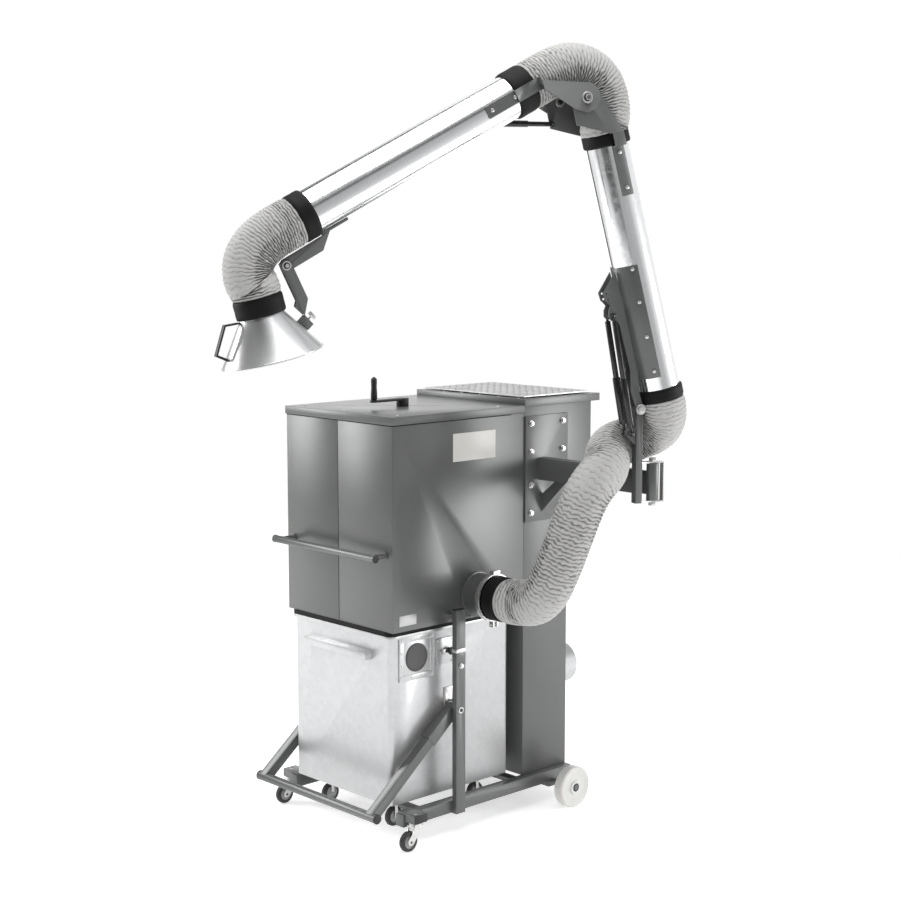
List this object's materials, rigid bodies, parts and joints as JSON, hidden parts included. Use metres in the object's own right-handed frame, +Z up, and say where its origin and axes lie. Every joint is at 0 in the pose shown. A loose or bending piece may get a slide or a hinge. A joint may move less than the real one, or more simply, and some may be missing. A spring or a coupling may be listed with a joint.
{
  "type": "mobile dust extractor with suction arm",
  "caption": "Mobile dust extractor with a filter housing, rear tower, lift-out dust bin on a foot-operated lever, and a swivelling two-part suction arm with a round hood.",
  "frame": {"origin": "floor level, under the middle of the bounding box", "axes": "+Z up, +X to the machine's right, +Y to the machine's rear"},
  "size_m": [1.3975, 1.8123, 2.8399],
  "materials": {
    "grey_powder_coat": "satin",
    "galvanised": "satin",
    "zinc_plate": "satin",
    "hood_metal": "brushed",
    "black_rubber": "matte",
    "black_plastic": "matte",
    "spring_black": "satin",
    "white_nylon": "matte",
    "hose_fabric": "matte",
    "filter_fleece": "matte",
    "cast_alloy": "satin"
  },
  "bodies": {
    "machine": {"chassis_frame": "grey_powder_coat", "frame_caps": "black_plastic", "bin_gasket": "black_rubber", "housing_left": "grey_powder_coat", "housing_right": "grey_powder_coat", "housing_lid": "grey_powder_coat", "tower_shell": "grey_powder_coat", "tower_lid": "grey_powder_coat", "lid_panel": "black_plastic", "tube_sheet": "galvanised", "filter_cartridge": "filter_fleece", "fan_motor": "cast_alloy", "fan_scroll": "grey_powder_coat", "outlet_spigot": "galvanised", "inlet_spigot": "grey_powder_coat", "inlet_clamp": "zinc_plate", "inlet_cuff": "black_rubber", "supply_hose_lower": "hose_fabric", "arm_console": "grey_powder_coat", "frame_bolts": "zinc_plate", "push_bar": "grey_powder_coat"},
    "crank": {"crank_handle": "grey_powder_coat", "filter_wiper": "black_plastic"},
    "crank_knob": {"crank_grip": "black_plastic"},
    "fan": {"fan_impeller": "cast_alloy"},
    "bin": {"bin_tub": "galvanised", "port_frame": "galvanised", "bin_lift_plates": "zinc_plate", "bin_forks": "zinc_plate"},
    "bin_wheels_in_front": {"bin_wheels_front": "black_rubber"},
    "bin_wheels_behind": {"bin_wheels_rear": "black_rubber"},
    "lever": {"lift_lever": "grey_powder_coat"},
    "castor_left": {"castor_fork_left": "zinc_plate"},
    "castor_right": {"castor_fork_right": "zinc_plate"},
    "castor_roller_left": {"castor_wheel_left": "black_rubber"},
    "castor_roller_right": {"castor_wheel_right": "black_rubber"},
    "big_wheel_left": {"rear_wheel_left": "white_nylon"},
    "big_wheel_right": {"rear_wheel_right": "white_nylon"},
    "post": {"arm_post": "grey_powder_coat", "supply_hose_upper": "hose_fabric"},
    "lower_arm": {"lower_tube": "galvanised", "lower_bracket": "grey_powder_coat", "lower_elbow_plates": "grey_powder_coat", "lower_cuffs": "black_rubber", "lower_bolts": "zinc_plate", "elbow_hose": "hose_fabric"},
    "main_spring_foot": {"spring_sleeves": "spring_black"},
    "main_spring_head": {"spring_cylinders": "spring_black"},
    "upper_arm": {"upper_tube": "galvanised", "upper_elbow_plates": "grey_powder_coat", "hood_bracket": "grey_powder_coat", "upper_cuffs": "black_rubber", "hood_hose": "hose_fabric"},
    "elbow_spring_rod": {"elbow_spring_cylinder": "spring_black"},
    "elbow_spring_body": {"elbow_spring_sleeve": "spring_black"},
    "hood": {"hood_link": "grey_powder_coat", "hood_cone": "hood_metal", "hood_cuff": "black_rubber", "hood_handle": "black_plastic"},
    "wing_screw": {"hood_knob": "zinc_plate"}
  },
  "joints": [
    {"name": "crank_turn", "type": "hinge", "parent": "machine", "child": "crank", "pos_m": [-0.2355, 0.1335, 1.58], "axis": [0, 0, 1], "continuous": true},
    {"name": "crank_grip_turn", "type": "hinge", "parent": "crank", "child": "crank_knob", "pos_m": [-0.2355, -0.0065, 1.62], "axis": [0, 0, 1], "continuous": true},
    {"name": "fan_spin", "type": "hinge", "parent": "machine", "child": "fan", "pos_m": [-0.3455, 0.6735, 1.35], "axis": [0, 0, 1], "continuous": true},
    {"name": "lever_lift", "type": "hinge", "parent": "machine", "child": "lever", "pos_m": [-0.2455, 0.1065, 0.468], "axis": [-1, 0, 0], "range_deg": [0, 80]},
    {"name": "bin_drop", "type": "slide", "parent": "machine", "child": "bin", "axis": [0, 0, 1], "range_m": [-0.03, 0]},
    {"name": "bin_front_roll", "type": "hinge", "parent": "bin", "child": "bin_wheels_in_front", "pos_m": [-0.2455, -0.0725, 0.0675], "axis": [1, 0, 0], "continuous": true},
    {"name": "bin_rear_roll", "type": "hinge", "parent": "bin", "child": "bin_wheels_behind", "pos_m": [-0.2455, 0.3415, 0.0675], "axis": [1, 0, 0], "continuous": true},
    {"name": "castor_swivel_left", "type": "hinge", "parent": "machine", "child": "castor_left", "pos_m": [-0.6075, -0.1225, 0.11], "axis": [0, 0, 1], "continuous": true},
    {"name": "castor_roll_left", "type": "hinge", "parent": "castor_left", "child": "castor_roller_left", "pos_m": [-0.6075, -0.1575, 0.0375], "axis": [1, 0, 0], "continuous": true},
    {"name": "rear_roll_left", "type": "hinge", "parent": "machine", "child": "big_wheel_left", "pos_m": [-0.6755, 0.6275, 0.08], "axis": [1, 0, 0], "continuous": true},
    {"name": "castor_swivel_right", "type": "hinge", "parent": "machine", "child": "castor_right", "pos_m": [0.1165, -0.1225, 0.11], "axis": [0, 0, 1], "continuous": true},
    {"name": "castor_roll_right", "type": "hinge", "parent": "castor_right", "child": "castor_roller_right", "pos_m": [0.1165, -0.1575, 0.0375], "axis": [1, 0, 0], "continuous": true},
    {"name": "rear_roll_right", "type": "hinge", "parent": "machine", "child": "big_wheel_right", "pos_m": [0.1845, 0.6275, 0.08], "axis": [1, 0, 0], "continuous": true},
    {"name": "arm_swivel", "type": "hinge", "parent": "machine", "child": "post", "pos_m": [0.6035, 0.5825, 1.318], "axis": [0, 0, 1], "range_deg": [-35, 80], "deforming": ["supply_hose_lower", "supply_hose_upper"]},
    {"name": "main_pivot", "type": "hinge", "parent": "post", "child": "lower_arm", "pos_m": [0.58092, 0.52368, 1.581], "axis": [0.9336, -0.3584, 0], "range_deg": [-12, 30], "deforming": ["supply_hose_upper", "supply_hose_lower"]},
    {"name": "elbow", "type": "hinge", "parent": "lower_arm", "child": "upper_arm", "pos_m": [0.4852, 0.27432, 2.6483], "axis": [0.9336, -0.3584, 0], "range_deg": [-40, 25], "deforming": ["elbow_hose"]},
    {"name": "hood_pivot", "type": "hinge", "parent": "upper_arm", "child": "hood", "pos_m": [0.1187, -0.68044, 2.09251], "axis": [0.9336, -0.3584, 0], "range_deg": [-35, 35], "deforming": ["hood_hose"]},
    {"name": "wing_screw_turn", "type": "hinge", "parent": "hood", "child": "wing_screw", "pos_m": [0.14555, -0.61051, 1.91891], "axis": [0.2578, 0.6716, 0.6947], "range_deg": [-180, 180]},
    {"name": "main_spring_foot_swing", "type": "hinge", "parent": "post", "child": "main_spring_foot", "pos_m": [0.56766, 0.48914, 1.495], "axis": [0.9336, -0.3584, 0], "range_deg": [-11, 26]},
    {"name": "main_spring_head_swing", "type": "hinge", "parent": "lower_arm", "child": "main_spring_head", "pos_m": [0.54007, 0.41726, 1.912], "axis": [0.9336, -0.3584, 0], "range_deg": [-6, 3]},
    {"name": "elbow_spring_swing", "type": "hinge", "parent": "lower_arm", "child": "elbow_spring_rod", "pos_m": [0.38761, 0.27429, 2.5713], "axis": [0.9336, -0.3584, 0], "range_deg": [-45, 29]},
    {"name": "elbow_spring_stroke", "type": "slide", "parent": "elbow_spring_rod", "child": "elbow_spring_body", "axis": [-0.3583, -0.9335, -0.0113], "range_m": [-0.034, 0.054]}
  ],
  "couplings": [
    {"joint": "bin_drop", "follows": "lever_lift", "m_per_rad": -0.021486},
    {"joint": "main_spring_foot_swing", "follows": "main_pivot", "ratio": 0.832},
    {"joint": "main_spring_head_swing", "follows": "main_pivot", "ratio": -0.168},
    {"joint": "elbow_spring_swing", "follows": "elbow", "ratio": 1.08},
    {"joint": "elbow_spring_stroke", "follows": "elbow", "m_per_rad": -0.074}
  ]
}
